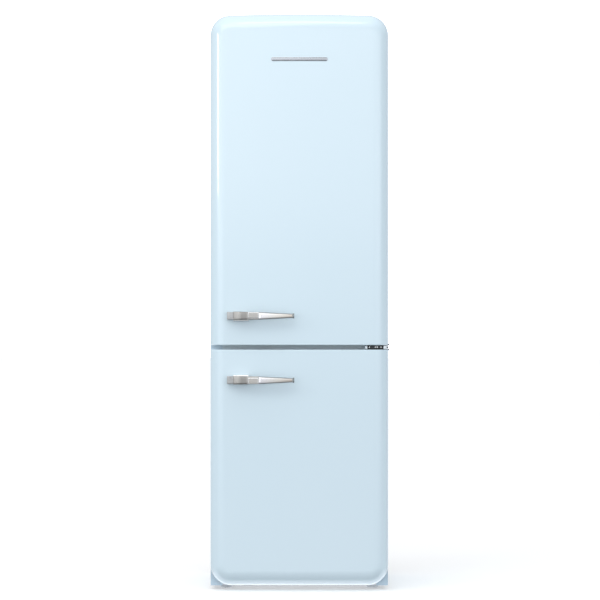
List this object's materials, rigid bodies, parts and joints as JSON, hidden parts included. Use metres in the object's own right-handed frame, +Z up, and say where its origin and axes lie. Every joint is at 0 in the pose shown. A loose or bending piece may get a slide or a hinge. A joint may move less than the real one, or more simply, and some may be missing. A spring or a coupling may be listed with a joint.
{
  "type": "two-door refrigerator",
  "caption": "Tall refrigerator with rounded pillow-front doors hinged on the right, a long upper door over a shorter freezer door, and bar handles.",
  "frame": {"origin": "on the floor below the middle of the whole object", "axes": "+Z up, the doors face -Y, +X to the right of a person facing the doors"},
  "size_m": [0.605, 0.7284, 1.9465],
  "materials": {
    "enamel": "glossy enamel, pale blue",
    "dark_paint": "satin black",
    "plated_steel": "zinc plated",
    "hinge_steel": "satin dark grey",
    "polished": "polished",
    "liner": "semi-gloss vacuum-formed",
    "white_plastic": "satin",
    "clear_plastic": "clear moulded",
    "grey_plastic": "satin",
    "black_plastic": "matt",
    "foam": "rigid foam",
    "seal": "soft pale grey",
    "black_rubber": "matt",
    "glass": "toughened, clear",
    "coil_metal": "plain"
  },
  "bodies": {
    "cabinet": {"cabinet_wrapper": "enamel", "back_panel": "plated_steel", "base_pan": "plated_steel", "cabinet_foam": "foam", "fridge_liner": "liner", "freezer_liner": "liner", "center_rail": "enamel", "top_hinge": "hinge_steel", "middle_hinge": "hinge_steel", "bottom_hinge": "hinge_steel", "hinge_screws": "plated_steel", "hinge_washers": "white_plastic", "compressor": "dark_paint", "compressor_mounts": "black_rubber", "compressor_rail": "plated_steel", "drip_tray": "black_plastic", "condenser": "dark_paint", "condenser_wires": "dark_paint", "power_inlet": "black_plastic", "air_duct": "white_plastic", "control_housing": "white_plastic", "light_lens": "clear_plastic", "fridge_shelves": "glass", "shelf_trims": "white_plastic", "crisper_drawer": "clear_plastic", "bottle_rack": "polished", "evaporator_cover": "white_plastic", "evaporator": "coil_metal", "fan_motor": "black_plastic", "freezer_shelves": "glass", "freezer_drawer_lower": "clear_plastic", "freezer_drawer_middle": "clear_plastic", "freezer_drawer_upper": "clear_plastic"},
    "fridge_door": {"fridge_door_skin": "enamel", "fridge_door_foam": "foam", "fridge_door_liner": "liner", "fridge_door_gasket": "seal", "fridge_door_bushes": "black_plastic", "fridge_handle_base": "polished", "fridge_handle_grip": "polished", "front_badge": "polished", "door_bins": "clear_plastic", "bottle_bin": "clear_plastic", "dairy_bin": "clear_plastic"},
    "freezer_door": {"freezer_door_skin": "enamel", "freezer_door_foam": "foam", "freezer_door_liner": "liner", "freezer_door_gasket": "seal", "freezer_door_bushes": "black_plastic", "freezer_handle_base": "polished", "freezer_handle_grip": "polished"},
    "dairy_lid": {"dairy_lid": "clear_plastic"},
    "bottle_retainer": {"bottle_retainer": "white_plastic"},
    "humidity_slider": {"humidity_slider": "grey_plastic"},
    "temperature_knob": {"temperature_knob": "white_plastic"},
    "evaporator_fan": {"evaporator_fan": "white_plastic"},
    "roller_left": {"roller_left": "black_plastic"},
    "roller_right": {"roller_right": "black_plastic"},
    "foot_left": {"foot_left": "black_plastic"},
    "foot_right": {"foot_right": "black_plastic"}
  },
  "joints": [
    {"name": "fridge_door_hinge", "type": "hinge", "parent": "cabinet", "child": "fridge_door", "pos_m": [0.2925, -0.252, 1.388], "axis": [0, 0, 1], "range_deg": [0, 120]},
    {"name": "freezer_door_hinge", "type": "hinge", "parent": "cabinet", "child": "freezer_door", "pos_m": [0.2925, -0.252, 0.4165], "axis": [0, 0, 1], "range_deg": [0, 120]},
    {"name": "dairy_lid_hinge", "type": "hinge", "parent": "fridge_door", "child": "dairy_lid", "pos_m": [0, -0.209, 1.7521], "axis": [1, 0, 0], "range_deg": [0, 85]},
    {"name": "bottle_retainer_slide", "type": "slide", "parent": "fridge_door", "child": "bottle_retainer", "axis": [1, 0, 0], "range_m": [-0.12, 0.12]},
    {"name": "humidity_slide", "type": "slide", "parent": "cabinet", "child": "humidity_slider", "axis": [1, 0, 0], "range_m": [-0.03, 0.03]},
    {"name": "temperature_knob_turn", "type": "hinge", "parent": "cabinet", "child": "temperature_knob", "pos_m": [-0.052, -0.06, 1.84], "axis": [0, 0, -1], "range_deg": [0, 270]},
    {"name": "evaporator_fan_spin", "type": "hinge", "parent": "cabinet", "child": "evaporator_fan", "pos_m": [0, 0.223, 0.72], "axis": [0, 1, 0], "continuous": true},
    {"name": "roller_left_spin", "type": "hinge", "parent": "cabinet", "child": "roller_left", "pos_m": [-0.268, 0.245, 0.018], "axis": [1, 0, 0], "continuous": true},
    {"name": "roller_right_spin", "type": "hinge", "parent": "cabinet", "child": "roller_right", "pos_m": [0.268, 0.245, 0.018], "axis": [1, 0, 0], "continuous": true},
    {"name": "foot_left_level", "type": "slide", "parent": "cabinet", "child": "foot_left", "axis": [0, 0, -1], "range_m": [0, 0.015]},
    {"name": "foot_right_level", "type": "slide", "parent": "cabinet", "child": "foot_right", "axis": [0, 0, -1], "range_m": [0, 0.015]}
  ]
}
